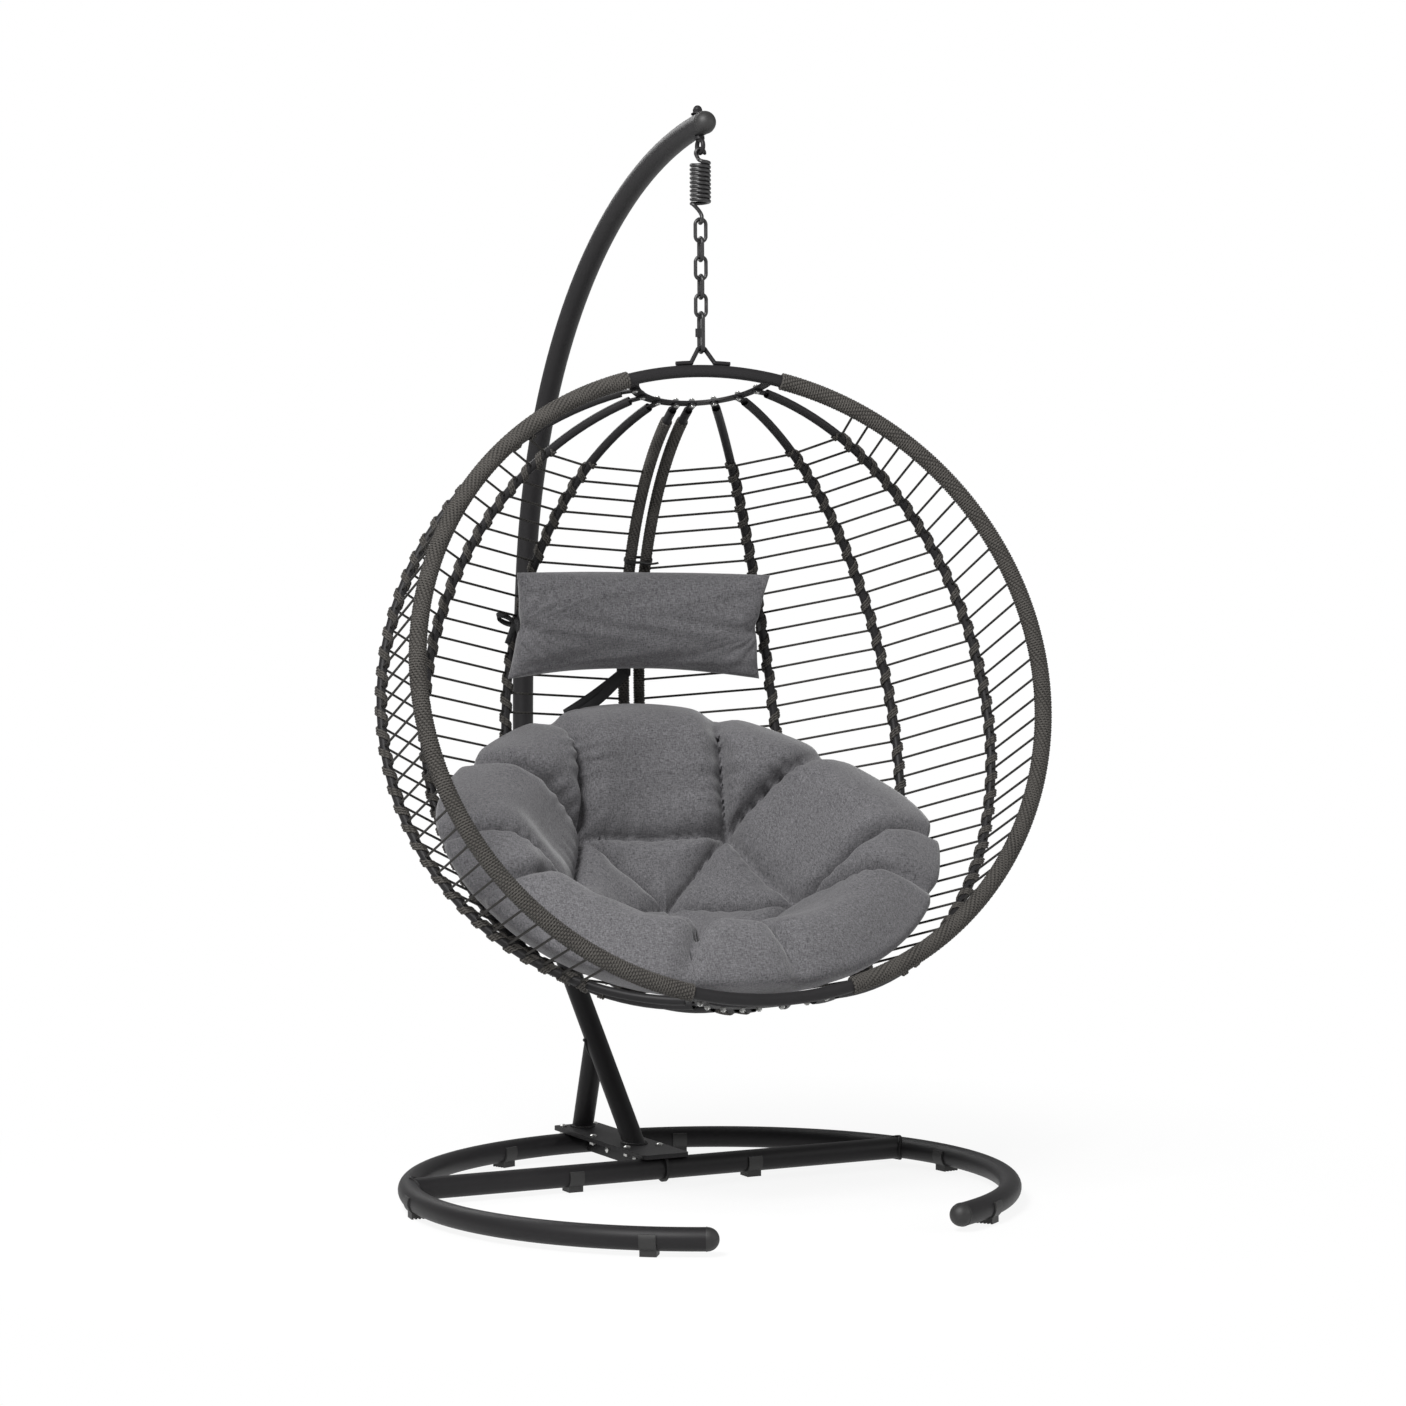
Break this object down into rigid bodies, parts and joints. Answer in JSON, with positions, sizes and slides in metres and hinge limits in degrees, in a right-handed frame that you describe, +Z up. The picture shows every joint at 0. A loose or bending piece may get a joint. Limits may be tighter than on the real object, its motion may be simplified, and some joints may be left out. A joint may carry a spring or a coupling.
{
  "type": "hanging egg chair",
  "caption": "Corded egg-shaped basket seat with cushion and head pillow, hung on a spring and chain from an arched tube stand with an open ground ring.",
  "frame": {"origin": "on the floor, below the middle of the whole chair's outline", "axes": "+Z up, -Y the way the sitter faces, +X to the sitter's left"},
  "size_m": [1.1608, 1.3525, 1.9372],
  "materials": {
    "black_frame": "fine satin powder coat over steel",
    "black_plastic": "moulded matte",
    "zinc_bolts": "bright zinc plate",
    "woven_cord": "braided cord, matte",
    "cushion_fabric": "grey flecked weave",
    "webbing": "flat woven tape"
  },
  "bodies": {
    "stand": {"rear_ring": "black_frame", "left_ring_arc": "black_frame", "right_ring_arc": "black_frame", "crossbar": "black_frame", "ring_end_caps": "black_plastic", "ring_feet": "black_plastic", "crossbar_feet": "black_plastic", "base_spine": "black_frame", "lower_plate": "black_frame", "mast_plate": "black_frame", "plate_bolts": "zinc_bolts", "plate_nuts": "zinc_bolts", "spine_bolts": "zinc_bolts", "spine_nuts": "zinc_bolts", "lower_mast": "black_frame", "middle_mast": "black_frame", "mast_bow": "black_frame", "mast_brace": "black_frame", "mast_end_cap": "black_plastic", "eye_bolt": "black_frame", "eye_cap_nut": "black_frame"},
    "spring": {"spring": "black_frame"},
    "link_1": {"chain_link_1": "black_frame"},
    "link_2": {"chain_link_2": "black_frame"},
    "link_3": {"chain_link_3": "black_frame"},
    "link_4": {"chain_link_4": "black_frame"},
    "link_5": {"chain_link_5": "black_frame"},
    "quick_link": {"quick_link": "black_frame"},
    "quick_nut": {"quick_link_nut": "black_frame"},
    "basket": {"top_rim_tube": "black_frame", "bottom_rim_tube": "black_frame", "left_rim_tube": "black_frame", "right_rim_tube": "black_frame", "left_rim_wrap": "woven_cord", "right_rim_wrap": "woven_cord", "hanging_loop": "black_frame", "top_half_ring": "black_frame", "bottom_half_ring": "black_frame", "left_rib_1": "black_frame", "left_rib_2": "black_frame", "left_rib_3": "black_frame", "right_rib_1": "black_frame", "right_rib_2": "black_frame", "right_rib_3": "black_frame", "left_centre_rib": "black_frame", "right_centre_rib": "black_frame", "left_centre_wrap": "woven_cord", "right_centre_wrap": "woven_cord", "rib_bolts": "zinc_bolts", "rib_nuts": "zinc_bolts", "cable_ties": "black_plastic", "left_ropes": "woven_cord", "right_ropes": "woven_cord", "seat_cushion": "cushion_fabric", "head_pillow": "cushion_fabric", "pillow_ties": "webbing", "seat_strap": "webbing"}
  },
  "joints": [
    {"name": "spring_swing", "type": "hinge", "parent": "stand", "child": "spring", "pos_m": [0, -0.13498, 1.86046], "axis": [1, 0, 0], "range_deg": [-8, 8]},
    {"name": "spring_stretch", "type": "slide", "parent": "spring", "child": "link_1", "axis": [0, 0, -1], "range_m": [0, 0.03], "stiffness_N_per_m": 8000, "springref_m": -0.06, "deforming": ["spring"]},
    {"name": "chain_sway", "type": "hinge", "parent": "link_1", "child": "link_2", "pos_m": [0, -0.13498, 1.70387], "axis": [0, 1, 0], "range_deg": [-6, 6]},
    {"name": "basket_swivel", "type": "hinge", "parent": "link_2", "child": "quick_link", "pos_m": [0, -0.13498, 1.67087], "axis": [0, 0, 1], "range_deg": [-80, 80]},
    {"name": "link_3_twist", "type": "hinge", "parent": "link_2", "child": "link_3", "pos_m": [0, -0.13498, 1.67087], "axis": [0, 0, 1], "range_deg": [-20, 20]},
    {"name": "link_4_twist", "type": "hinge", "parent": "link_2", "child": "link_4", "pos_m": [0, -0.13498, 1.63787], "axis": [0, 0, 1], "range_deg": [-40, 40]},
    {"name": "link_5_twist", "type": "hinge", "parent": "link_2", "child": "link_5", "pos_m": [0, -0.13498, 1.60487], "axis": [0, 0, 1], "range_deg": [-60, 60]},
    {"name": "basket_tilt", "type": "hinge", "parent": "quick_link", "child": "basket", "pos_m": [0, -0.13498, 1.51092], "axis": [1, 0, 0], "range_deg": [-8, 8]},
    {"name": "quick_nut_slide", "type": "slide", "parent": "quick_link", "child": "quick_nut", "axis": [0, 0, 1], "range_m": [0, 0.012]}
  ],
  "couplings": [
    {"joint": "link_3_twist", "follows": "basket_swivel", "ratio": 0.25},
    {"joint": "link_4_twist", "follows": "basket_swivel", "ratio": 0.5},
    {"joint": "link_5_twist", "follows": "basket_swivel", "ratio": 0.75}
  ]
}
